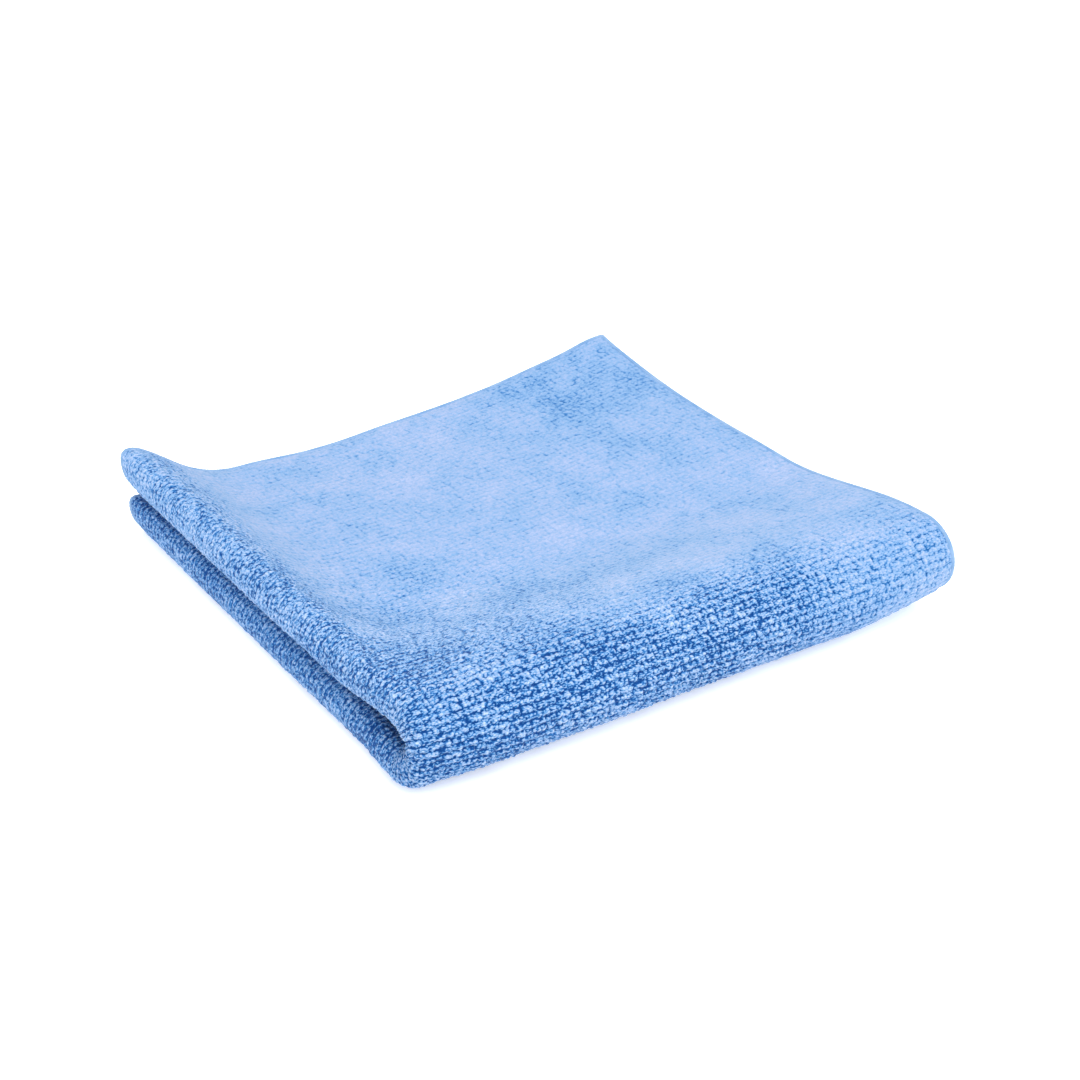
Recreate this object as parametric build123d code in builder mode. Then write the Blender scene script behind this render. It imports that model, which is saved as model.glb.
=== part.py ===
from build123d import *
from math import cos, pi, radians, sin
import os

# A square terry polishing cloth, folded in half and in half again, lying flat.
# +Z is up and the origin is on the floor under the middle of the bundle.
# The first fold runs along -Y, as two rolls lying one on the other.
# The last fold is the single large one along +X.
# The cut edges, four to a side, lie along -X and +Y, each bound with thread.

# Driving dimensions, in millimetres
cloth_side = 400.0          # the cloth laid out flat
bundle_side = cloth_side / 2
half_side = bundle_side / 2
ply = 3.3                   # thickness of the cloth with its pile
ply_gap = 0.2               # air between two layers of one half
front_radius = 15.5         # outside of the last fold
side_radius = 6.8           # outside of the lower roll
lip_radius = ply + ply_gap / 2      # the roll where it is drawn tight round the last fold
upper_roll_low = 14.2       # underside of the upper roll
upper_roll_top = 28.0       # top of the upper roll near the last fold
left_roll_lift = 1.0        # how far the upper roll's underside rises at its open end
left_roll_rise = 4.0        # how far its top rises there
middle_top = 14.1           # top of the bundle where it sags most
back_rise = 8.3             # how far the back edge stands above that
far_corner_rise = 13.9      # how far the far corner stands above it
thread_width = 2.8          # overlock binding on the cut edges
thread_height = 2.9
thread_gap = 0.2
hinge_count = 4             # the last fold bends along this many lines
hinge_clearance = 0.15      # half the gap between two strips of the fold

# Derived positions
cut_edge = half_side - thread_width - thread_gap
fold_x = half_side - front_radius
fold_z = front_radius
fold_inner_radius = front_radius - 2 * ply - ply_gap
second_ply_low = ply + ply_gap
lower_half_top = 2 * ply + ply_gap
taper_x = 72.0              # the rolls start to narrow here
side_slope_end = -62.0      # the rolls have come down to the flat layers here
dish_start_x = 15.0         # the top starts to climb to the last fold here
dish_start_y = -30.0        # the top starts to climb to the back edge here
strip_angle = 180.0 / hinge_count
pivot_radius = front_radius * radians(strip_angle / 2) / sin(radians(strip_angle / 2))
clearance_angle = hinge_clearance / fold_inner_radius * 180 / pi
station_xs = [-cut_edge, -50.0, 0.0, 30.0, 55.0, taper_x, fold_x]
section_points = 7


def smooth(value):
    value = min(max(value, 0.0), 1.0)
    return value * value * (3 - 2 * value)


def along(start, end, share):
    return start + (end - start) * share


def corner_share(x):
    """0 where the rolls are full size, 1 where they are drawn tight into the last fold."""
    return min(max((x - taper_x) / (fold_x - taper_x), 0.0), 1.0)


def open_share(x):
    """0 where the rolls start to narrow, 1 at their open end."""
    return min(max((taper_x - x) / (taper_x + half_side), 0.0), 1.0)


def lower_roll_radius(x):
    return along(side_radius, lip_radius, corner_share(x))


def upper_roll_heights(x):
    """Underside and top of the upper roll."""
    low = upper_roll_low + left_roll_lift * open_share(x)
    top = upper_roll_top + left_roll_rise * open_share(x)
    fold_top = 2 * front_radius
    share = corner_share(x)
    return along(low, fold_top - lower_half_top, share), along(top, fold_top, share)


def upper_roll_radius(x):
    low, top = upper_roll_heights(x)
    return (top - low) / 2


def dished_top(x, y):
    """Top of the bundle, leaving out the climb to the side roll."""
    climb = min(max((y - dish_start_y) / (half_side - dish_start_y), 0.0), 1.0) ** 1.3
    corner = min(max(-x / half_side, 0.0), 1.0) ** 2
    rise = along(back_rise, far_corner_rise, corner)
    middle = middle_top + rise * climb
    return along(middle, 2 * front_radius, smooth((x - dish_start_x) / (fold_x - dish_start_x)))


def side_share(x, y):
    """0 on the flat layers, 1 where a layer turns into the upper roll."""
    edge = -half_side + upper_roll_radius(x)
    return min(max((side_slope_end - y) / (side_slope_end - edge), 0.0), 1.0)


def top_ply_low(x, y):
    roll = upper_roll_heights(x)[1] - ply
    return along(dished_top(x, y) - ply, roll, side_share(x, y))


def third_ply_low(x, y):
    roll = upper_roll_heights(x)[0]
    return along(dished_top(x, y) - lower_half_top, roll, side_share(x, y))


def across(x):
    """The plane across the bundle at x, with Y to its right and Z up."""
    return Plane(origin=(x, 0, 0), x_dir=(0, 1, 0), z_dir=(1, 0, 0))


def layer_section(x, underside, thickness, start, end):
    """Cross-section of one layer: straight down from the side roll, then one smooth line to its end."""
    inset = (ply - thickness) / 2
    step = (end - side_slope_end) / (section_points - 1)
    ys = [side_slope_end + step * i for i in range(section_points)]
    low = [(y, underside(x, y) + inset) for y in ys]
    high = [(y, z + thickness) for y, z in low]
    low_start = (start, underside(x, start) + inset)
    high_start = (start, low_start[1] + thickness)
    with BuildSketch(across(x)) as section:
        with BuildLine():
            Line(low_start, low[0])
            Spline(*low)
            Line(low[-1], high[-1])
            Spline(*high)
            Line(high[0], high_start)
            Line(high_start, low_start)
        make_face()
    return section


def roll_section(x, low, radius, thickness):
    """Half ring of a side roll, open towards +Y, from its underside up to its top."""
    centre_y = -half_side + radius
    centre_z = low + radius
    inset = (ply - thickness) / 2
    outer = radius - inset
    inner = outer - thickness
    with BuildSketch(across(x)) as section:
        with BuildLine():
            ThreePointArc(
                (centre_y, centre_z - outer), (centre_y - outer, centre_z), (centre_y, centre_z + outer)
            )
            Line((centre_y, centre_z + outer), (centre_y, centre_z + inner))
            ThreePointArc(
                (centre_y, centre_z + inner), (centre_y - inner, centre_z), (centre_y, centre_z - inner)
            )
            Line((centre_y, centre_z - inner), (centre_y, centre_z - outer))
        make_face()
    return section


def hook_section(x, radius, thickness):
    """The lower roll and the slope down to the flat second layer."""
    centre_y = -half_side + radius
    inset = (ply - thickness) / 2
    outer = radius - inset
    inner = outer - thickness
    slope_top = lower_half_top - inset
    slope_low = slope_top - thickness
    with BuildSketch(across(x)) as section:
        with BuildLine():
            ThreePointArc((centre_y, radius - outer), (centre_y - outer, radius), (centre_y, radius + outer))
            Line((centre_y, radius + outer), (side_slope_end, slope_top))
            Line((side_slope_end, slope_top), (side_slope_end, slope_low))
            Line((side_slope_end, slope_low), (centre_y, radius + inner))
            ThreePointArc((centre_y, radius + inner), (centre_y - inner, radius), (centre_y, radius - inner))
            Line((centre_y, radius - inner), (centre_y, radius - outer))
        make_face()
    return section


def save(part, label):
    part.part.label = label
    export_step(part.part, f"parts/{label}.step")


def make_bottom_ply():
    """Flat layer that the bundle rests on."""
    with BuildPart() as bottom_ply:
        with BuildSketch():
            with BuildLine():
                Polyline(
                    (-cut_edge, -half_side + side_radius),
                    (taper_x, -half_side + side_radius),
                    (fold_x, -half_side + lip_radius),
                    (fold_x, cut_edge),
                    (-cut_edge, cut_edge),
                    close=True,
                )
            make_face()
        extrude(amount=ply)
    save(bottom_ply, "bottom_ply")


def make_second_ply():
    """Flat layer lying on the bottom one."""
    start = side_slope_end + ply_gap
    with BuildPart() as second_ply:
        with BuildSketch(Plane.XY.offset(second_ply_low)):
            with Locations(((fold_x - cut_edge) / 2, (cut_edge + start) / 2)):
                Rectangle(fold_x + cut_edge, cut_edge - start)
        extrude(amount=ply)
    save(second_ply, "second_ply")


def make_lower_side_fold():
    """First fold of the lower half: a roll along -Y."""
    with BuildPart() as lower_side_fold:
        for x in (-cut_edge, taper_x, fold_x):
            section = hook_section(x, lower_roll_radius(x), ply)
            add(section.sketch)
        loft(ruled=True)
    save(lower_side_fold, "lower_side_fold")


def make_upper_side_fold():
    """First fold of the upper half: a larger, looser roll along -Y."""
    with BuildPart() as upper_side_fold:
        for x in station_xs:
            low = upper_roll_heights(x)[0]
            section = roll_section(x, low, upper_roll_radius(x), ply)
            add(section.sketch)
        loft(ruled=True)
    save(upper_side_fold, "upper_side_fold")


def make_upper_ply(label, underside):
    """A layer of the upper half, which sags in the middle."""
    with BuildPart() as upper_ply:
        for x in station_xs:
            start = -half_side + upper_roll_radius(x) + ply_gap / 2
            section = layer_section(x, underside, ply, start, cut_edge)
            add(section.sketch)
        loft(ruled=True)
    save(upper_ply, label)


def fold_plane(angle):
    """Plane through the last fold's axis, with Y to its right and the fold's radius up."""
    turn = radians(angle)
    return Plane(origin=(fold_x, 0, fold_z), x_dir=(0, 1, 0), z_dir=(-cos(turn), 0, -sin(turn)))


def strip_angles(index):
    """Start and end of a strip of the last fold, from 0 underneath to 180 on top."""
    start = 0.0
    end = 180.0
    if index > 0:
        start = strip_angle * (index - 0.5) + clearance_angle
    if index < hinge_count:
        end = strip_angle * (index + 0.5) - clearance_angle
    return start, end


def make_fold_strip(index):
    """One strip of the last fold: outer and inner layer, joined by the first fold at -Y."""
    start, end = strip_angles(index)
    middle = front_radius - lip_radius
    lip_y = -half_side + lip_radius
    axis = Axis((fold_x, 0, fold_z), (0, -1, 0))
    with BuildPart() as strip:
        with BuildSketch(fold_plane(start)):
            with Locations(((cut_edge + lip_y) / 2, middle)):
                Rectangle(cut_edge - lip_y, 2 * lip_radius)
            with Locations((lip_y, middle)):
                Circle(lip_radius)
            with Locations(((cut_edge + lip_y) / 2, middle)):
                Rectangle(cut_edge - lip_y, ply_gap, mode=Mode.SUBTRACT)
        revolve(axis=axis, revolution_arc=end - start)
    save(strip, f"front_fold_strip_{index + 1}")


def make_strip_thread(index):
    """Overlock thread on the two cut edges of one strip of the last fold."""
    start, end = strip_angles(index)
    outer = front_radius - ply / 2
    inner = outer - ply - ply_gap
    axis = Axis((fold_x, 0, fold_z), (0, -1, 0))
    with BuildPart() as thread:
        with BuildSketch(fold_plane(start)):
            with Locations((half_side - thread_width / 2, outer), (half_side - thread_width / 2, inner)):
                Rectangle(thread_width, thread_height)
        revolve(axis=axis, revolution_arc=end - start)
    save(thread, f"front_fold_thread_{index + 1}")


def make_flat_back_thread(label, low):
    """Overlock thread along the back edge of a flat layer."""
    with BuildPart() as thread:
        with BuildSketch(Plane.XY.offset(low + (ply - thread_height) / 2)):
            with Locations(((fold_x - half_side) / 2, half_side - thread_width / 2)):
                Rectangle(fold_x + half_side, thread_width)
        extrude(amount=thread_height)
    save(thread, label)


def make_sagging_back_thread(label, underside):
    """Overlock thread along the back edge of a layer that sags."""
    inset = (ply - thread_height) / 2
    with BuildPart() as thread:
        for x in [-half_side] + station_xs[1:]:
            low = underside(x, half_side - thread_width) + inset
            high = low + thread_height
            with BuildSketch(across(x)):
                with BuildLine():
                    Polyline(
                        (half_side - thread_width, low),
                        (half_side, low),
                        (half_side, high),
                        (half_side - thread_width, high),
                        close=True,
                    )
                make_face()
        loft(ruled=True)
    save(thread, label)


def make_lower_left_thread():
    """Overlock thread down the open side of the lower half, round the end of its roll."""
    inset = (ply - thread_height) / 2
    start = -half_side + side_radius + ply_gap
    with BuildPart() as thread:
        hook = hook_section(-half_side, side_radius, thread_height)
        extrude(hook.sketch, amount=thread_width, dir=(1, 0, 0))
        for low in (0.0, second_ply_low):
            first = start if low == 0.0 else side_slope_end + ply_gap
            with BuildSketch(Plane.XY.offset(low + inset)):
                with Locations((-half_side + thread_width / 2, (cut_edge + first) / 2)):
                    Rectangle(thread_width, cut_edge - first)
            extrude(amount=thread_height)
    save(thread, "lower_left_edge_thread")


def make_upper_left_thread():
    """Overlock thread down the open side of the upper half, round the end of its roll."""
    ends = (-half_side, -half_side + thread_width)
    start = -half_side + upper_roll_radius(-half_side) + ply_gap
    low = upper_roll_heights(-half_side)[0]
    roll = roll_section(-half_side, low, upper_roll_radius(-half_side), thread_height)
    with BuildPart() as thread:
        extrude(roll.sketch, amount=thread_width, dir=(1, 0, 0))
        for underside in (third_ply_low, top_ply_low):
            for x in ends:
                section = layer_section(x, underside, thread_height, start, cut_edge)
                add(section.sketch)
            loft(ruled=True)
    save(thread, "upper_left_edge_thread")


os.makedirs("parts", exist_ok=True)
make_bottom_ply()
make_second_ply()
make_upper_ply("third_ply", third_ply_low)
make_upper_ply("top_ply", top_ply_low)
make_lower_side_fold()
make_upper_side_fold()
for strip_index in range(hinge_count + 1):
    make_fold_strip(strip_index)
    make_strip_thread(strip_index)
make_flat_back_thread("bottom_ply_back_thread", 0.0)
make_flat_back_thread("second_ply_back_thread", second_ply_low)
make_sagging_back_thread("third_ply_back_thread", third_ply_low)
make_sagging_back_thread("top_ply_back_thread", top_ply_low)
make_lower_left_thread()
make_upper_left_thread()

for hinge in range(hinge_count):
    turn = radians(strip_angle * (hinge + 0.5))
    pivot_x = fold_x + pivot_radius * sin(turn)
    pivot_z = fold_z - pivot_radius * cos(turn)
    print(f"hinge {hinge + 1} at x = {pivot_x:.3f}, z = {pivot_z:.3f}")
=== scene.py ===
from math import cos, pi, radians, sin

import bpy
import numpy as np
from mathutils import Matrix, Vector


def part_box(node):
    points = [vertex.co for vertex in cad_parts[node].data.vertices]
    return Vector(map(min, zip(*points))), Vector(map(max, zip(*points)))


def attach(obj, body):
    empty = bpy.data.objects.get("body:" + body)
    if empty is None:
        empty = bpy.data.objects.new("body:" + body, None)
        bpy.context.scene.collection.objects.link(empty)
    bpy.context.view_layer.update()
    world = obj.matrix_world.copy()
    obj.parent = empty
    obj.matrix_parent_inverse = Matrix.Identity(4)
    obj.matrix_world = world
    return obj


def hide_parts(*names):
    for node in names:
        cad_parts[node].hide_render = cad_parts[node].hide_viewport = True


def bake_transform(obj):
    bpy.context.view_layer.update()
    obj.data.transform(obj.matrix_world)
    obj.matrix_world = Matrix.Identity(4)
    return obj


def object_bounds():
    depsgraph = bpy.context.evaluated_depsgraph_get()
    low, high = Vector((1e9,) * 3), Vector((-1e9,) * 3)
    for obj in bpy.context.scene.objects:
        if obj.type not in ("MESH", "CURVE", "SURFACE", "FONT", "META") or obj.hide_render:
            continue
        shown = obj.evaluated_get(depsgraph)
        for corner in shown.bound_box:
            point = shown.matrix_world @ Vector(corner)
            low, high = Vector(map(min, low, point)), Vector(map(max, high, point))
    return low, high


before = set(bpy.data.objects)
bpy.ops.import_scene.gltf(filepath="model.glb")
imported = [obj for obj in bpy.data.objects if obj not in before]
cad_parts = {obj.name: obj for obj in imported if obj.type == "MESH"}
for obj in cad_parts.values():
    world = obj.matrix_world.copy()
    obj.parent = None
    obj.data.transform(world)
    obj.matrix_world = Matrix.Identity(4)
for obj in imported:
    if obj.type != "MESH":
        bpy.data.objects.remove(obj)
cad_low, cad_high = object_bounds()

MM = 0.001

# ---------------------------------------------------------------- sizes, in metres
# The cloth lies folded in quarters. Its first fold is the pair of rolls along -Y,
# its last fold is the large one along +X, and its cut edges lie along -X and +Y.
LEFT = cad_low.x                                   # cut edges of the open side
BACK = cad_high.y                                  # cut edges of the back side
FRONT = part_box("lower_side_fold")[0].y             # noses of the two rolls
FOLD_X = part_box("bottom_ply")[1].x                 # the last fold begins here
FOLD_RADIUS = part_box("front_fold_strip_5")[1].z / 2
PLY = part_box("bottom_ply")[1].z                    # one layer with its pile
HALF = PLY / 2
LOWER_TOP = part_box("second_ply")[0].z + PLY        # top of the lower two layers
LOWER_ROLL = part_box("lower_side_fold")[1].z / 2    # radius of the lower roll
LEFT_ROLL_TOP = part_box("upper_side_fold")[1].z
BINDING = 1.7 * MM                                 # the cloth's own edge lies this far inside the CAD's

# Heights of the sagging top and of the upper roll
STACK_TOP = 13.7 * MM                              # top of all four layers where they sag most
BACK_RISE = 10.1 * MM                              # the back edge stands above that
CORNER_RISE = 15.7 * MM                            # and the far corner this much above it
LEFT_RISE = 0.9 * MM                               # the open left side lies this much higher
UPPER_ROLL_LOW = 14.2 * MM
UPPER_ROLL_TOP = 28.2 * MM
UPPER_ROLL_HALF_Y = 5.3 * MM

# Where the shape changes from one part to the next
SAG_Y = -34 * MM                                   # the top climbs to the back from here
SLOPE_END = -59 * MM                               # the rolls have run out here
SWELL_X = 45 * MM                                  # the rolls swell towards the last fold from here
CLIMB_X = 15 * MM                                  # the top climbs to the last fold from here
OPEN_END_X = 20 * MM                               # the rolls open towards their left end from here
PAST_INNER = radians(20)                           # the inner layer leaves each roll past its inner side
PAST_TOP = radians(42)                             # the outer layer leaves the upper roll past its top

# The last fold
SLIT = 2.8 * MM                                    # half the slit between the rolls at the fold
NOSE_DEPTH = 6.9 * MM                              # the slit ends this far past FOLD_X
FOLD_ROLL = (FOLD_RADIUS - SLIT) / 2               # radius of both rolls at the fold
ROLL_OUT = 0.4 * MM                                # the rolls stand this far past FRONT
STRIPS = 4

# The pile: rows of loops that run along Y
ROWS_FLAT = 75
ROWS_FOLD = 20
LOOP_PITCH = 1.7 * MM
PILE_HEIGHT = 1.25 * MM
PILE_TOP = 0.15 * MM                               # loop tips stand this much proud
EDGE_HALF = 0.75 * MM                              # half the thickness at a cut edge
PINCH = 5 * MM                                     # the cloth thins over this distance from it
INSIDE_GAP = 0.1 * MM                              # the inside face lies this much nearer the middle

# The binding on the cut edges
BINDING_HALF_WIDTH = 1.05 * MM
BINDING_HALF_HEIGHT = 1.0 * MM
STITCH = 1.25 * MM

# Places across the rows, and the number of rows up to each
T_FOLD = FOLD_X - LEFT - BINDING                   # start of the last fold
T_OVER = T_FOLD + pi * FOLD_RADIUS                 # its end
T_END = T_OVER + T_FOLD
T_MARKS = [0, T_FOLD, T_OVER, T_END]
ROW_MARKS = [0, ROWS_FLAT, ROWS_FLAT + ROWS_FOLD, 2 * ROWS_FLAT + ROWS_FOLD]


def smooth(value):
    value = np.clip(value, 0, 1)
    return value * value * (3 - 2 * value)


def along(start, end, share):
    return start + (end - start) * share


def hump(distance, width):
    """1 at no distance, falling off like a bell over the width."""
    return np.exp(-((distance / width) ** 2))


def soft_noise(u, v, seed):
    """Smooth random field from -1 to 1, about one unit from bump to bump."""
    size = 64
    table = np.random.default_rng(seed).random((size, size)) * 2 - 1
    i = np.floor(u).astype(int)
    j = np.floor(v).astype(int)
    a = smooth(u - i)
    b = smooth(v - j)
    near = along(table[i % size, j % size], table[(i + 1) % size, j % size], a)
    far = along(table[i % size, (j + 1) % size], table[(i + 1) % size, (j + 1) % size], a)
    return along(near, far, b)


# ---------------------------------------------------------------- the folded shape
def fold_share(x):
    """0 on the flat part, 1 where the last fold begins."""
    return smooth((x - SWELL_X) / (FOLD_X - SWELL_X))


def left_share(x):
    """0 over most of the length, 1 at the open end of the rolls."""
    return np.clip((OPEN_END_X - x) / (OPEN_END_X - LEFT), 0, 1) ** 1.6


def dished_top(x, y):
    """Top of the bundle, leaving out the climb to the upper roll. It sags in the middle,
    rises to the back and most to the far corner, and has soft waves."""
    climb = np.clip((y - SAG_Y) / (BACK - SAG_Y), 0, 1) ** 1.6
    corner = np.clip(x / LEFT, 0, 1) ** 2.6
    rise = LEFT_RISE * corner + along(BACK_RISE, CORNER_RISE, corner) * climb
    waves = soft_noise(x / 0.045 + 9, y / 0.038 + 9, 11) + 0.5 * soft_noise(x / 0.02, y / 0.017, 12)
    tip = hump(np.hypot(x - LEFT, y - BACK + 8 * MM), 9 * MM)
    shoulder = corner * hump(y + 57 * MM, 22 * MM)
    top = STACK_TOP + rise + (0.55 * waves + 1.1 * tip + 1.3 * shoulder) * MM
    near_fold = smooth((x - CLIMB_X) / (FOLD_X - CLIMB_X))
    return along(top, 2 * FOLD_RADIUS + end_lift(y, 1), near_fold)


def upper_roll(x):
    """Centre and half sizes of the upper roll's middle line, and the angle from its top
    at which the outer layer leaves it."""
    share = fold_share(x)
    left = left_share(x)
    lumps = 0.35 * MM * soft_noise(x / 0.03, x * 0 + 3, 21) * (1 - share)
    low = along(UPPER_ROLL_LOW + 2.4 * MM * left, 2 * FOLD_RADIUS - 2 * FOLD_ROLL, share)
    top = along(along(UPPER_ROLL_TOP, LEFT_ROLL_TOP + 1.9 * MM, left), 2 * FOLD_RADIUS, share) + lumps
    half_z = (top - low) / 2 - HALF
    half_y = along(UPPER_ROLL_HALF_Y, FOLD_ROLL - HALF, share) + lumps / 2
    centre_z = (top + low) / 2
    centre_y = FRONT - ROLL_OUT * share + HALF + half_y - 2.3 * MM * left
    return centre_y, centre_z, half_y, half_z, -PAST_TOP * (1 - share)


def leaned(y, rise, centre_y, amount):
    """Moves a roll outwards towards its top, as the open ends of the rolls do."""
    return y - amount * hump(y - centre_y, 10 * MM) * (rise + rise * rise / (9 * MM))


def slope(y, start):
    """1 where a layer leaves its roll, 0 where it has come down to the flat."""
    return (1 - np.clip((y - start) / (SLOPE_END - start), 0, 1)) ** 1.9


def bent(zone, share, centre_y, half_y, first, last):
    """Y of a half section, the angle round its roll, and the Y at which its outer layer
    and its inner layer leave the roll."""
    angle = along(first, last, share)
    outer_y = centre_y - half_y * np.sin(first)
    inner_y = centre_y - half_y * np.sin(last)
    y = centre_y - half_y * np.sin(angle)
    y = np.where(zone == 0, along(BACK - BINDING, outer_y, share), y)
    y = np.where(zone == 2, along(inner_y, BACK - BINDING, share), y)
    return y, angle, outer_y, inner_y


def heights(zone, share, radius):
    """Y and height above the outer surface, for the lower half and the last fold."""
    reach = radius - HALF
    y, angle, _, inner_y = bent(zone, share, FRONT - ROLL_OUT + radius, reach, 0.0, pi + PAST_INNER)
    height = radius - reach * np.cos(angle)
    inner = along(LOWER_TOP - HALF, radius + reach * cos(PAST_INNER), slope(y, inner_y))
    height = np.where(zone == 0, HALF, height)
    return y, np.where(zone == 2, inner, height)


def end_lift(y, turn_share):
    """The back end of the last fold stands a little off the floor, less so at its top."""
    wide = along(4.4, 1.5, turn_share) * smooth((y - 60 * MM) / (40 * MM))
    last = 1.2 * (1 - turn_share) * smooth((y - 85 * MM) / (15 * MM))
    return (wide + last) * MM


def near_corner_push(y, amount):
    """The lower roll bulges outwards at the near corner."""
    return -1.1 * MM * amount * hump(y - FRONT, 13 * MM)


def lower_middle(zone, share, x):
    """The lower half: two layers that lie flat, and the lower roll."""
    left = left_share(x)
    near_fold = fold_share(x)
    radius = along(LOWER_ROLL, FOLD_ROLL, near_fold)
    y, height = heights(zone, share, radius)
    height = height * (1 + 0.16 * left * slope(y, FRONT + radius) * smooth(height / LOWER_ROLL))
    y = leaned(y, height - LOWER_ROLL, FRONT + radius, 0.32 * left)
    height = height + end_lift(y, 0) * near_fold
    y = y + near_corner_push(y, smooth((x - 62 * MM) / (FOLD_X - 62 * MM)))
    return np.stack([x + 0 * y, y, height + 0 * x], axis=-1)


def fold_middle(zone, share, turn):
    """The last fold. Its rolls stay thick up to the nose, with a narrow slit between them."""
    level = np.abs(np.cos(turn))
    inside = np.minimum(SLIT / np.maximum(level, SLIT / NOSE_DEPTH), NOSE_DEPTH)
    y, height = heights(zone, share, (FOLD_RADIUS - inside) / 2)
    ends = -0.2 * smooth((y - 62 * MM) / (38 * MM)) + 2.6 * smooth((-70 * MM - y) / (30 * MM))
    bulge = (0.45 * soft_noise(y / 0.032, y * 0 + 5, 31) + 0.7 - ends) * MM
    reach = FOLD_RADIUS - height + bulge * np.sin(turn) ** 2
    x = FOLD_X + reach * np.sin(turn)
    z = FOLD_RADIUS - reach * np.cos(turn) + end_lift(y, turn / pi)
    y = y + near_corner_push(y, 1 - smooth(turn / (pi / 2)))
    return np.stack([x, y + 0 * x, z], axis=-1)


def upper_middle(zone, share, x):
    """The upper half: two layers that follow the sagging top, and the upper roll."""
    centre_y, centre_z, half_y, half_z, first = upper_roll(x)
    last = pi + PAST_INNER
    y, angle, outer_y, inner_y = bent(zone, share, centre_y, half_y, first, last)
    z = centre_z + half_z * np.cos(angle)
    dish = dished_top(x + 0 * y, y)
    top = along(dish - HALF, centre_z + half_z * np.cos(first), slope(y, outer_y))
    low = along(dish - LOWER_TOP + HALF, centre_z + half_z * np.cos(last), slope(y, inner_y))
    z = np.where(zone == 0, top, np.where(zone == 2, low, z))
    y = leaned(y, z - centre_z, centre_y, 0.28 * left_share(x))
    return np.stack([x + 0 * y, y, z], axis=-1)


def middle(q, t):
    """Middle surface of the cloth. t runs across the rows, and q along them from 0 to 3:
    outer layer, roll, inner layer."""
    zone = np.clip(np.floor(q), 0, 2)
    share = q - zone
    lower = lower_middle(zone, share, np.minimum(LEFT + BINDING + t, FOLD_X))
    turn = np.clip((t - T_FOLD) / FOLD_RADIUS, 0, pi)
    fold = fold_middle(zone, share, turn)
    upper = upper_middle(zone, share, np.minimum(FOLD_X - (t - T_OVER), FOLD_X))
    where = t + 0 * q
    points = np.where((where < T_FOLD)[..., None], lower, fold)
    return np.where((where > T_OVER)[..., None], upper, points)


def outward(q, t):
    """Unit normal of the middle surface, towards the face that lies outside when the cloth is folded."""
    step_q = 0.004
    step_t = 0.3 * MM
    along_q = middle(np.minimum(q + step_q, 3), t) - middle(np.maximum(q - step_q, 0), t)
    along_t = middle(q, np.minimum(t + step_t, T_END)) - middle(q, np.maximum(t - step_t, 0))
    normal = np.cross(along_t, along_q)
    return normal / np.linalg.norm(normal, axis=-1, keepdims=True)


def turn_at(t):
    """Angle round the last fold, 0 on the lower half and pi on the upper half."""
    return np.clip((t - T_FOLD) / FOLD_RADIUS, 0, pi)


# ---------------------------------------------------------------- the pile
def loops(u, v):
    """Height of the pile from 0 to 1, as overlapping domes, one for each loop of yarn.
    u counts rows and v counts loops along a row. Each loop is moved aside and ahead,
    leans, and has its own size, and each row starts at its own shift."""
    rng = np.random.default_rng(5)
    count = 256
    shape = (count, count)
    aside = (rng.random(shape) - 0.5) * 0.2
    ahead = (rng.random(shape) - 0.5) * 0.5
    lean = (rng.random(shape) - 0.5) * 1.6
    length = 0.56 + 0.14 * rng.random(shape)
    width = 0.44 + 0.12 * rng.random(shape)
    tall = 0.6 + 0.4 * rng.random(shape)
    shift = 100 + 7 * rng.random(count)
    height = np.zeros(u.shape)
    for i in (-1, 0, 1):
        row = np.floor(u).astype(int) + i
        a = row % count
        place = v + shift[a]
        column = np.floor(place).astype(int)
        for j in (-1, 0, 1):
            b = (column + j) % count
            across = u - row - 0.5 - aside[a, b]
            onward = place - column - j - 0.5 - ahead[a, b]
            long_way = across * np.sin(lean[a, b]) + onward * np.cos(lean[a, b])
            short_way = across * np.cos(lean[a, b]) - onward * np.sin(lean[a, b])
            away = (long_way / length[a, b]) ** 2 + (short_way / width[a, b]) ** 2
            # each dome is taller towards the next row; as the colour follows the height, this paints
            # shade on the side of each loop towards the row before
            dome = tall[a, b] * (0.9 + 0.4 * across) * np.clip(1 - away, 0, 1) ** 0.55
            height = np.maximum(height, dome)
    return height


def openness(y, t):
    """1 where the cloth bends outwards and its loops part, 0 where it lies flat and they close up.
    The loops part round the last fold, on the rolls, and most widely near the corner between them."""
    from_fold = np.abs(t - (T_FOLD + T_OVER) / 2 + 6 * MM) - 14 * MM
    at_fold = (0.95 - 0.6 * smooth(y / (80 * MM))) * smooth(1 - from_fold / (38 * MM))
    on_upper = along(0.95, 0.5, np.clip((t - T_OVER) / T_FOLD, 0, 1))
    roll_share = np.where(t < T_OVER, 0.65, on_upper)
    at_roll = roll_share * smooth(1 - (y - FRONT - 7 * MM) / (18 * MM))
    near_corner = 0.85 * smooth(1 - np.hypot(from_fold, y - FRONT) / (150 * MM))
    return np.maximum(np.maximum(at_fold, at_roll), near_corner)


def painted_shade(points, t):
    """Painted shade on the lower roll, under the upper roll, and at the far corner: the pile is made
    lower there, so its colour comes out darker.
    """
    far = np.hypot(points[..., 0] - LEFT - 25 * MM, points[..., 1] - BACK + 15 * MM)
    on_roll = (t < T_FOLD) * smooth(1 - (points[..., 1] - FRONT - 10 * MM) / (30 * MM))
    return 0.13 * hump(far, 48 * MM) + 0.16 * on_roll


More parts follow.
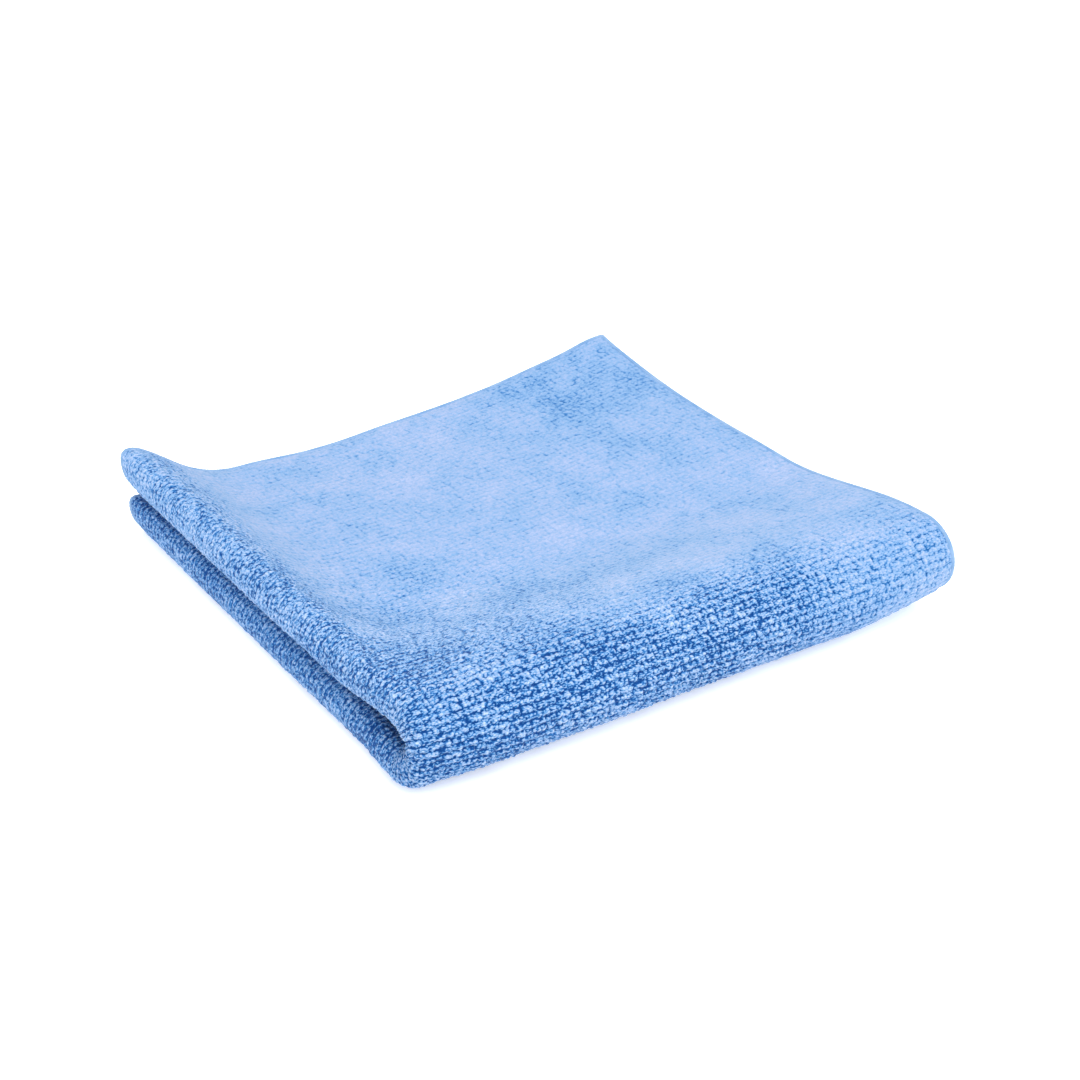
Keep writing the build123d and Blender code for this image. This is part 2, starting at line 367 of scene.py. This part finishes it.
def pile_at(points, t, run):
    """Height of the pile, about 0 to 1, and how open it is. run counts loops along the rows."""
    u = np.interp(t, T_MARKS, ROW_MARKS)
    wandering = u + 0.25 * soft_noise(u / 6, run / 9, 41)
    between_rows = 1 - np.abs(np.sin(pi * wandering))
    opened = openness(points[..., 1], t)
    pile = loops(wandering, run) * (1 - 0.65 * opened * between_rows ** 2)
    pile = np.clip(pile + 0.17 * soft_noise(u * 2.1, run * 1.9, 51), 0, 1.1)
    closed_up = 0.48 + 0.30 * pile ** 0.45
    parted = 0.06 + 0.94 * pile
    # painted shade: the pile is lowered on the lower roll and at the far corner, which darkens its
    # colour
    return along(closed_up, parted, opened) - painted_shade(points, t), opened


def cut_distance(points, t):
    """How far a point is from the nearest cut edge."""
    side = np.minimum(t, T_END - t)
    return np.minimum(BACK - BINDING - points[..., 1], side)


# ---------------------------------------------------------------- meshes
def grid_indices(rows, columns, first):
    return first + np.arange(rows * columns).reshape(rows, columns)


def quads(grid, flip):
    a, b, c, d = grid[:-1, :-1], grid[:-1, 1:], grid[1:, 1:], grid[1:, :-1]
    order = (a, d, c, b) if flip else (a, b, c, d)
    return np.stack([part.ravel() for part in order], axis=1)


def wall(fine, coarse, ratio):
    """Triangles that join a fine edge to a coarse one."""
    faces = []
    middle_step = ratio // 2
    for m in range(len(coarse) - 1):
        for k in range(ratio):
            near = coarse[m] if k < middle_step else coarse[m + 1]
            faces.append((fine[m * ratio + k], fine[m * ratio + k + 1], near))
        faces.append((fine[m * ratio + middle_step], coarse[m + 1], coarse[m]))
    return faces


def closed_faces(fine, coarse, step_q, step_t):
    """Faces of a piece's outside and inside, and the walls that join them."""
    walls = wall(fine[:, 0], coarse[:, 0], step_q)
    walls += wall(fine[-1, :], coarse[-1, :], step_t)
    walls += wall(fine[::-1, -1], coarse[::-1, -1], step_q)
    walls += wall(fine[0, ::-1], coarse[0, ::-1], step_t)
    return [quads(fine, False), quads(coarse, True), np.array(walls)]


def add_uvs(mesh, uvs):
    layer = mesh.uv_layers.new(name="OFBake")
    layer.data.foreach_set("uv", np.concatenate(uvs).astype(np.float32).ravel())


def add_floats(mesh, label, values):
    attribute = mesh.attributes.new(label, "FLOAT", "POINT")
    attribute.data.foreach_set("value", values.astype(np.float32))


def add_vectors(mesh, label, values):
    attribute = mesh.attributes.new(label, "FLOAT_VECTOR", "POINT")
    attribute.data.foreach_set("vector", values.astype(np.float32).ravel())


def mark_sharp(mesh, rim):
    """Makes the edges between rim vertices sharp."""
    ends = np.empty(len(mesh.edges) * 2, np.int32)
    mesh.edges.foreach_get("vertices", ends)
    ends = ends.reshape(-1, 2)
    mesh.edges.foreach_set("use_edge_sharp", rim[ends[:, 0]] & rim[ends[:, 1]])


def smooth_mesh(name, points, faces):
    """A smooth mesh from numpy arrays. faces is a list of index arrays, each with faces of one size."""
    mesh = bpy.data.meshes.new(name)
    corners = np.concatenate([part.ravel() for part in faces]).astype(np.int32)
    sizes = np.concatenate([np.full(len(part), part.shape[1]) for part in faces])
    starts = np.concatenate([[0], np.cumsum(sizes)[:-1]]).astype(np.int32)
    mesh.vertices.add(len(points))
    mesh.vertices.foreach_set("co", points.astype(np.float32).ravel())
    mesh.loops.add(len(corners))
    mesh.loops.foreach_set("vertex_index", corners)
    mesh.polygons.add(len(starts))
    mesh.polygons.foreach_set("loop_start", starts)
    mesh.update(calc_edges=True)
    mesh.polygons.foreach_set("use_smooth", np.ones(len(starts), bool))
    return mesh


def place_mesh(name, mesh):
    mesh.validate()
    mesh.update()
    piece = bpy.data.objects.new(name, mesh)
    bpy.context.collection.objects.link(piece)
    return piece


# ---------------------------------------------------------------- cloth
def stations(outer_step, roll_steps, inner_step=0.8 * MM):
    """Values of q: even steps on the outer layer, finer ones round the roll, even ones on the inner."""
    length = BACK - FRONT
    outer = np.linspace(0, 1, 2 * int(length / outer_step / 2) + 1)
    roll = np.linspace(1, 2, roll_steps + 1)
    inner = np.linspace(2, 3, 2 * int(length / inner_step / 2) + 1)
    return np.concatenate([outer, roll[1:], inner[1:]])


def run_along(skin, q):
    """Distance of each point along its row, counted in loops from the middle of the roll."""
    steps = np.linalg.norm(np.diff(skin, axis=0), axis=2)
    run = np.concatenate([np.zeros((1, skin.shape[1])), np.cumsum(steps, axis=0)])
    return (run - run[np.searchsorted(q, 1.5)]) / LOOP_PITCH


def cloth_uvs(flat, thinned, faces, outside_count):
    """UVs: the outside on two thirds of the square, the inside and the walls on the rest."""
    outside_uv = flat * [0.98, 0.64] + 0.01
    inside_uv = flat[thinned] * [0.98, 0.28] + [0.01, 0.67]
    vertex_uv = np.concatenate([outside_uv.reshape(-1, 2), inside_uv.reshape(-1, 2)])
    uvs = [vertex_uv[part.ravel()] for part in faces]
    uvs[2][:, 1] = np.where(faces[2].ravel() < outside_count, 0.985, 0.97)
    return uvs


def rim_of(grids, count):
    """True for the vertices along the outlines of the grids."""
    rim = np.zeros(count, bool)
    for grid in grids:
        for line in (grid[:, 0], grid[:, -1], grid[0], grid[-1]):
            rim[line] = True
    return rim


def both_faces(outside, inside):
    """Values on the outside face and then on the inside one, as one list of vertices."""
    width = outside.shape[2:]
    return np.concatenate([outside.reshape(-1, *width), inside.reshape(-1, *width)])


def make_cloth(name, first_row, last_row, row_steps, q):
    """A closed piece of the cloth between two rows, with its pile on the outside face
    and a coarser plain inside face, one point for each row and every other value of q."""
    rows = np.linspace(first_row, last_row, (last_row - first_row) * row_steps + 1)
    t = np.interp(rows, ROW_MARKS, T_MARKS)
    grid_q, grid_t = np.meshgrid(q, t, indexing="ij")
    points = middle(grid_q, grid_t)
    normals = outward(grid_q, grid_t)
    pinch = smooth(cut_distance(points, grid_t) / PINCH)
    half = along(EDGE_HALF, HALF, pinch)[..., None]
    skin = points + normals * half
    run = run_along(skin, q)
    pile, opened = pile_at(points, grid_t, run)
    lift = (PILE_TOP - PILE_HEIGHT * (1 - pile)) * along(0.35, 1, pinch)
    outside = skin + normals * lift[..., None]
    outside[..., 2] = np.maximum(outside[..., 2], 0.0)
    step_q = 2
    thinned = (slice(None, None, step_q), slice(None, None, row_steps))
    inside = (points - normals * (half - INSIDE_GAP))[thinned]

    fine = grid_indices(*outside.shape[:2], 0)
    coarse = grid_indices(*inside.shape[:2], fine.size)
    faces = closed_faces(fine, coarse, step_q, row_steps)
    flat = np.stack([grid_q / 3, (grid_t - t[0]) / (t[-1] - t[0])], axis=-1)
    place = np.stack([grid_t, run * LOOP_PITCH, 0 * grid_t], axis=-1)
    inside_place = place[thinned] + [0, 0, 0.01]
    mesh = smooth_mesh(name, both_faces(outside, inside), faces)
    add_uvs(mesh, cloth_uvs(flat, thinned, faces, fine.size))
    # the pile attribute sets the colour too: where it is low, the colour is painted shade
    add_floats(mesh, "pile", both_faces(pile, np.full(inside.shape[:2], 0.6)))
    add_floats(mesh, "open", both_faces(opened, opened[thinned]))
    add_floats(mesh, "turn", both_faces(turn_at(grid_t), turn_at(grid_t[thinned])))
    add_vectors(mesh, "cloth", both_faces(place, inside_place))
    mark_sharp(mesh, rim_of((fine, coarse), fine.size + coarse.size))
    return place_mesh(name, mesh)


# ---------------------------------------------------------------- edge binding
def resample(line, spacing):
    """Even steps along a line whose first three columns are its points, and the distance to each."""
    steps = np.linalg.norm(np.diff(line[:, :3], axis=0), axis=1)
    run = np.concatenate([[0], np.cumsum(steps)])
    at = np.linspace(0, run[-1], max(2, int(round(run[-1] / spacing))))
    return at, np.stack([np.interp(at, run, column) for column in line.T], axis=1)


def edge_line(q, t):
    """Points, cloth normals, outward directions and turn angles along one cut edge, side by side."""
    points = middle(q, t)
    normals = outward(q, t)
    forward = np.gradient(points, axis=0)
    forward /= np.linalg.norm(forward, axis=1, keepdims=True)
    out = np.cross(forward, normals)
    out /= np.linalg.norm(out, axis=1, keepdims=True)
    return np.concatenate([points, normals, out, turn_at(t)[:, None]], axis=1)


def make_binding(name, q, t, flip):
    """Overlock stitching over a cut edge: a soft cord with slanted ridges of thread."""
    line = edge_line(q, t)
    if flip:
        line[:, 6:9] *= -1
    run, line = resample(line, 0.32 * MM)
    centre, up, out, turn = line[:, None, 0:3], line[:, None, 3:6], line[:, None, 6:9], line[:, 9]
    count = 12
    angle = np.arange(count) * 2 * pi / count
    stitch = run[:, None] / STITCH + 0.35 * np.sin(angle) + 0.4 * np.cos(angle)
    tight = np.random.default_rng(77).random(4096)[np.floor(stitch).astype(int) % 4096]
    ridge = np.abs(np.sin(pi * stitch)) ** 0.7
    radius = 1 + (0.10 + 0.06 * tight) * (ridge - 0.6)
    side = np.cos(angle)[:, None] * out * BINDING_HALF_WIDTH
    rise = np.sin(angle)[:, None] * up * BINDING_HALF_HEIGHT
    points = centre + (side + rise) * radius[..., None]
    points[..., 2] = np.maximum(points[..., 2], 0.0)
    grid = grid_indices(len(run), count, 0)
    around = np.concatenate([grid, grid[:, :1]], axis=1)
    ends = [grid[0], grid[-1, ::-1]] if flip else [grid[0, ::-1], grid[-1]]
    mesh = smooth_mesh(name, points.reshape(-1, 3), [quads(around, flip), np.stack(ends)])
    add_floats(mesh, "turn", np.repeat(turn, count))
    return place_mesh(name, mesh)


# ---------------------------------------------------------------- materials
def add_node(tree, kind, values=None, **settings):
    node = tree.nodes.new(kind)
    for key, value in settings.items():
        setattr(node, key, value)
    for key, value in (values or {}).items():
        node.inputs[key].default_value = value
    return node


def scaled(tree, source, factor, offset):
    """A number times a factor, plus an offset."""
    node = add_node(tree, "ShaderNodeMath", {1: factor, 2: offset}, operation="MULTIPLY_ADD")
    tree.links.new(source, node.inputs[0])
    return node.outputs[0]


def combined(tree, operation, first, second):
    """Two numbers, added or multiplied."""
    node = add_node(tree, "ShaderNodeMath", operation=operation)
    tree.links.new(first, node.inputs[0])
    tree.links.new(second, node.inputs[1])
    return node.outputs[0]


def colour_ramp(tree, source, stops):
    ramp = tree.nodes.new("ShaderNodeValToRGB")
    while len(ramp.color_ramp.elements) < len(stops):
        ramp.color_ramp.elements.new(0.5)
    for element, (place, colour) in zip(ramp.color_ramp.elements, stops):
        element.position = place
        element.color = (*colour, 1)
    tree.links.new(source, ramp.inputs["Fac"])
    return ramp.outputs["Color"]


def add_bump(tree, shader, height, strength, distance):
    bump = add_node(tree, "ShaderNodeBump", {"Strength": strength, "Distance": distance})
    tree.links.new(height, bump.inputs["Height"])
    tree.links.new(bump.outputs["Normal"], shader.inputs["Normal"])


def fabric_material(name):
    """A Principled shader set for matt microfibre, with its node tree."""
    material = bpy.data.materials.new(name)
    material.use_nodes = True
    tree = material.node_tree
    shader = tree.nodes["Principled BSDF"]
    shader.inputs["Specular IOR Level"].default_value = 0.15
    shader.inputs["Sheen Weight"].default_value = 0.38
    shader.inputs["Sheen Roughness"].default_value = 0.4
    shader.inputs["Sheen Tint"].default_value = (0.72, 0.85, 0.96, 1)
    return material, tree, shader


def yarn_texture(tree, place):
    """Relief of the single turns of yarn, finer than the mesh: round tops with creases
    between them, and fibres on top. The fibres come back by themselves too."""
    stretch = add_node(tree, "ShaderNodeVectorMath", {1: (1.4, 0.75, 1)}, operation="MULTIPLY")
    fibres = add_node(tree, "ShaderNodeTexNoise", {"Scale": 2100, "Detail": 2, "Roughness": 0.6})
    yarn = add_node(tree, "ShaderNodeTexVoronoi", {"Scale": 1350, "Randomness": 1.0})
    tree.links.new(place, stretch.inputs[0])
    for texture in (fibres, yarn):
        tree.links.new(stretch.outputs["Vector"], texture.inputs["Vector"])
    turns = scaled(tree, yarn.outputs["Distance"], -1.2, 0.54)
    strands = scaled(tree, fibres.outputs["Fac"], 1.0, -0.5)
    return combined(tree, "ADD", turns, strands), fibres.outputs["Fac"]


def toned(tree, colour, opened):
    """The colour with a little less green and blue where the loops lie close together."""
    tone = add_node(tree, "ShaderNodeVectorMath", operation="MULTIPLY_ADD")
    tone.inputs[1].default_value = (0.03, 0.11, 0.13)
    tone.inputs[2].default_value = (0.97, 0.89, 0.87)
    product = add_node(tree, "ShaderNodeVectorMath", operation="MULTIPLY")
    tree.links.new(opened, tone.inputs[0])
    tree.links.new(colour, product.inputs[0])
    tree.links.new(tone.outputs["Vector"], product.inputs[1])
    return product.outputs["Vector"]


def terry_material():
    """Looped pile: pale tips, painted shade in deep blue between the loops, set by the pile's height,
    and soft patches where the pile leans.
    """
    material, tree, shader = fabric_material("terry")
    place = add_node(tree, "ShaderNodeAttribute", attribute_name="cloth").outputs["Vector"]
    pile = add_node(tree, "ShaderNodeAttribute", attribute_name="pile").outputs["Fac"]
    opened = add_node(tree, "ShaderNodeAttribute", attribute_name="open").outputs["Fac"]
    patches = add_node(tree, "ShaderNodeTexNoise", {"Scale": 38, "Detail": 4, "Roughness": 0.7})
    tree.links.new(place, patches.inputs["Vector"])
    relief, fibres = yarn_texture(tree, place)
    # the turns of yarn show less where the loops lie close together
    grain = combined(tree, "MULTIPLY", relief, scaled(tree, opened, 0.73, 0.22))
    # the whole height of the pile, with the patches, decides the colour: low places between the loops
    # and between the turns of yarn get painted shade in deep blue
    height = add_node(tree, "ShaderNodeMath", {1: 0.75}, operation="MULTIPLY_ADD")
    tree.links.new(pile, height.inputs[0])
    tree.links.new(scaled(tree, patches.outputs["Fac"], 0.6, -0.3), height.inputs[2])
    colour = colour_ramp(tree, combined(tree, "ADD", height.outputs[0], grain), [
        (0.02, (0.002, 0.057, 0.25)),
        (0.20, (0.031, 0.18, 0.49)),
        (0.38, (0.185, 0.375, 0.67)),
        (0.62, (0.33, 0.45, 0.71)),
        (0.95, (0.52, 0.665, 0.90)),
    ])
    tree.links.new(toned(tree, colour, opened), shader.inputs["Base Color"])
    tree.links.new(scaled(tree, fibres, 0.15, 0.8), shader.inputs["Roughness"])
    add_bump(tree, shader, grain, 0.6, 0.6 * MM)
    return material


def thread_material():
    """Matching overlock thread, twisted, a little smoother than the pile."""
    material, tree, shader = fabric_material("edge_thread")
    place = add_node(tree, "ShaderNodeTexCoord").outputs["Object"]
    twist = add_node(tree, "ShaderNodeTexWave", {"Scale": 900, "Distortion": 3, "Detail": 1})
    shade = add_node(tree, "ShaderNodeTexNoise", {"Scale": 220, "Detail": 2})
    tree.links.new(place, twist.inputs["Vector"])
    tree.links.new(place, shade.inputs["Vector"])
    colour = colour_ramp(tree, shade.outputs["Fac"], [
        (0.3, (0.16, 0.31, 0.56)),
        (0.7, (0.26, 0.40, 0.62)),
    ])
    tree.links.new(colour, shader.inputs["Base Color"])
    shader.inputs["Roughness"].default_value = 0.7
    add_bump(tree, shader, twist.outputs["Fac"], 0.4, 0.2 * MM)
    return material


def floor_material():
    """Plain white, glowing a little so that it stays white at every angle."""
    material = bpy.data.materials.new("floor")
    material.use_nodes = True
    tree = material.node_tree
    shader = tree.nodes["Principled BSDF"]
    grain = add_node(tree, "ShaderNodeTexNoise", {"Scale": 30, "Detail": 2})
    colour = colour_ramp(tree, grain.outputs["Fac"], [
        (0.3, (0.91, 0.91, 0.91)),
        (0.7, (0.93, 0.93, 0.93)),
    ])
    tree.links.new(colour, shader.inputs["Base Color"])
    shader.inputs["Roughness"].default_value = 0.9
    shader.inputs["Specular IOR Level"].default_value = 0.1
    shader.inputs["Emission Color"].default_value = (1, 1, 1, 1)
    shader.inputs["Emission Strength"].default_value = 0.45
    return material


# ---------------------------------------------------------------- camera, floor and light
def make_camera():
    """A long lens from above the near corner, between the last fold and the rolls."""
    azimuth = radians(56.8)
    elevation = radians(28.3)
    distance = 0.70
    aim = Vector((0, 0, 0.012))
    back = Vector((sin(azimuth) * cos(elevation), -cos(azimuth) * cos(elevation), sin(elevation)))
    right = Vector((cos(azimuth), sin(azimuth), 0))
    up = back.cross(right)
    data = bpy.data.cameras.new("camera")
    data.sensor_width = 36
    data.lens = 69.6
    data.clip_start = 0.01
    camera = bpy.data.objects.new("camera", data)
    place = aim + back * distance + right * 0.0045 + up * 0.0005
    turn = Matrix((right, up, back)).transposed().to_4x4()
    camera.matrix_world = Matrix.Translation(place) @ turn
    bpy.context.collection.objects.link(camera)
    bpy.context.scene.camera = camera


def make_area_light(name, place, size, power, colour):
    """A square light that points at the middle of the cloth."""
    target = Vector((0, 0, 0.01))
    data = bpy.data.lights.new(name, "AREA")
    data.color = colour
    data.shape = "SQUARE"
    data.size = size
    data.energy = power
    light = bpy.data.objects.new(name, data)
    light.location = place
    light.rotation_euler = (Vector(place) - target).to_track_quat("Z", "Y").to_euler()
    bpy.context.collection.objects.link(light)


def make_sky():
    """A soft white dome, brighter overhead, with a bright band behind the floor's far edge."""
    world = bpy.data.worlds.new("studio")
    world.use_nodes = True
    tree = world.node_tree
    background = tree.nodes["Background"]
    background.inputs["Color"].default_value = (0.98, 0.99, 1, 1)
    direction = add_node(tree, "ShaderNodeTexCoord")
    parts = add_node(tree, "ShaderNodeSeparateXYZ")
    slant = add_node(tree, "ShaderNodeMath", operation="ABSOLUTE")
    band = add_node(tree, "ShaderNodeMath", {1: 24}, operation="POWER")
    tree.links.new(direction.outputs["Generated"], parts.inputs[0])
    tree.links.new(parts.outputs["Z"], slant.inputs[0])
    tree.links.new(scaled(tree, slant.outputs[0], -1, 1), band.inputs[0])
    overhead = scaled(tree, parts.outputs["Z"], 0.88, 0.28)
    strength = combined(tree, "ADD", overhead, band.outputs[0])
    tree.links.new(strength, background.inputs["Strength"])
    bpy.context.scene.world = world


def make_floor():
    reach = 40.0
    corners = [(-reach, -reach, 0), (reach, -reach, 0), (reach, reach, 0), (-reach, reach, 0)]
    mesh = bpy.data.meshes.new("floor")
    mesh.from_pydata(corners, [], [(0, 1, 2, 3)])
    floor = bpy.data.objects.new("floor", mesh)
    bpy.context.collection.objects.link(floor)
    mesh.materials.append(floor_material())


def make_studio():
    make_floor()
    make_sky()
    make_area_light("softbox", (0.8, 0.2, 1.55), 2.0, 32.0, (1, 0.98, 0.94))
    make_area_light("fill", (-0.5, -1.2, 0.45), 1.0, 6.0, (1, 1, 1))
    bpy.context.scene.view_settings.view_transform = "Standard"


# ---------------------------------------------------------------- the pieces
def bend_round_fold(piece):
    """Bakes a strip of the last fold's place into its mesh. It reads the strip's angles round the fold
    but does nothing with them, so the strip belongs to neither body."""
    turns = np.empty(len(piece.data.vertices), np.float32)
    piece.data.attributes["turn"].data.foreach_get("value", turns)
    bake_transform(piece)


def strip_nodes(kind, index):
    """The CAD nodes that a strip of the last fold stands for. The last strip stands for two."""
    numbers = [index + 1, index + 2] if index == STRIPS - 1 else [index + 1]
    return [f"front_fold_{kind}_{number}" for number in numbers]


def finish_cloth(piece, terry):
    piece.data.materials.append(terry)


def make_halves(terry):
    """The lower and the upper half, each with its roll, as they lie to either side of the last fold."""
    row_steps = 4
    lower = make_cloth("lower_cloth", ROW_MARKS[0], ROW_MARKS[1], row_steps, stations(1.2 * MM, 40))
    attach(lower, "lower_half")
    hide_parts("bottom_ply", "second_ply", "lower_side_fold")
    finish_cloth(lower, terry)
    upper = make_cloth("upper_cloth", ROW_MARKS[2], ROW_MARKS[3], row_steps, stations(0.55 * MM, 44))
    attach(upper, "upper_half")
    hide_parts("third_ply", "top_ply", "upper_side_fold")
    finish_cloth(upper, terry)


def make_fold_strips(terry):
    """The last fold, in strips from the lower half to the upper one."""
    row_steps = 6
    rows = ROWS_FOLD // STRIPS
    for index in range(STRIPS):
        first_row = ROWS_FLAT + rows * index
        strip = make_cloth(
            f"fold_cloth_{index + 1}", first_row, first_row + rows, row_steps, stations(0.44 * MM, 50)
        )
        bend_round_fold(strip)
        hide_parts(*strip_nodes("strip", index))
        finish_cloth(strip, terry)


def make_half_bindings(thread):
    """The binding of the halves, one piece for each cut edge: where q and t run from and to,
    whether it is turned over, its body and its CAD node."""
    share = np.linspace(0, 1, 401)
    outer = 0 * share
    inner = outer + 3
    edges = [
        ("bottom_back", outer, share * T_FOLD, False, "lower_half", "bottom_ply_back_thread"),
        ("second_back", inner, share * T_FOLD, True, "lower_half", "second_ply_back_thread"),
        ("lower_left", share * 3, 0 * share, True, "lower_half", "lower_left_edge_thread"),
        ("top_back", outer, T_OVER + share * T_FOLD, False, "upper_half", "top_ply_back_thread"),
        ("third_back", inner, T_OVER + share * T_FOLD, True, "upper_half", "third_ply_back_thread"),
        ("upper_left", share * 3, 0 * share + T_END, False, "upper_half", "upper_left_edge_thread"),
    ]
    for edge, q, t, flip, body, node in edges:
        binding = make_binding(f"{edge}_binding", q, t, flip)
        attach(binding, body)
        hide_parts(node)
        binding.data.materials.append(thread)


def make_fold_bindings(thread):
    """The binding of the last fold's back end, on its outer and inner layers."""
    share = np.linspace(0, 1, 401)
    width = (T_OVER - T_FOLD) / STRIPS
    for index in range(STRIPS):
        t = T_FOLD + width * (index + share)
        for q, flip, layer in ((0, False, "outer"), (3, True, "inner")):
            binding = make_binding(f"fold_{layer}_binding_{index + 1}", q + 0 * share, t, flip)
            bend_round_fold(binding)
            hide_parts(*strip_nodes("thread", index))
            binding.data.materials.append(thread)


make_camera()
make_studio()
terry_cloth = terry_material()
edge_thread = thread_material()
make_halves(terry_cloth)
make_fold_strips(terry_cloth)
make_half_bindings(edge_thread)
make_fold_bindings(edge_thread)
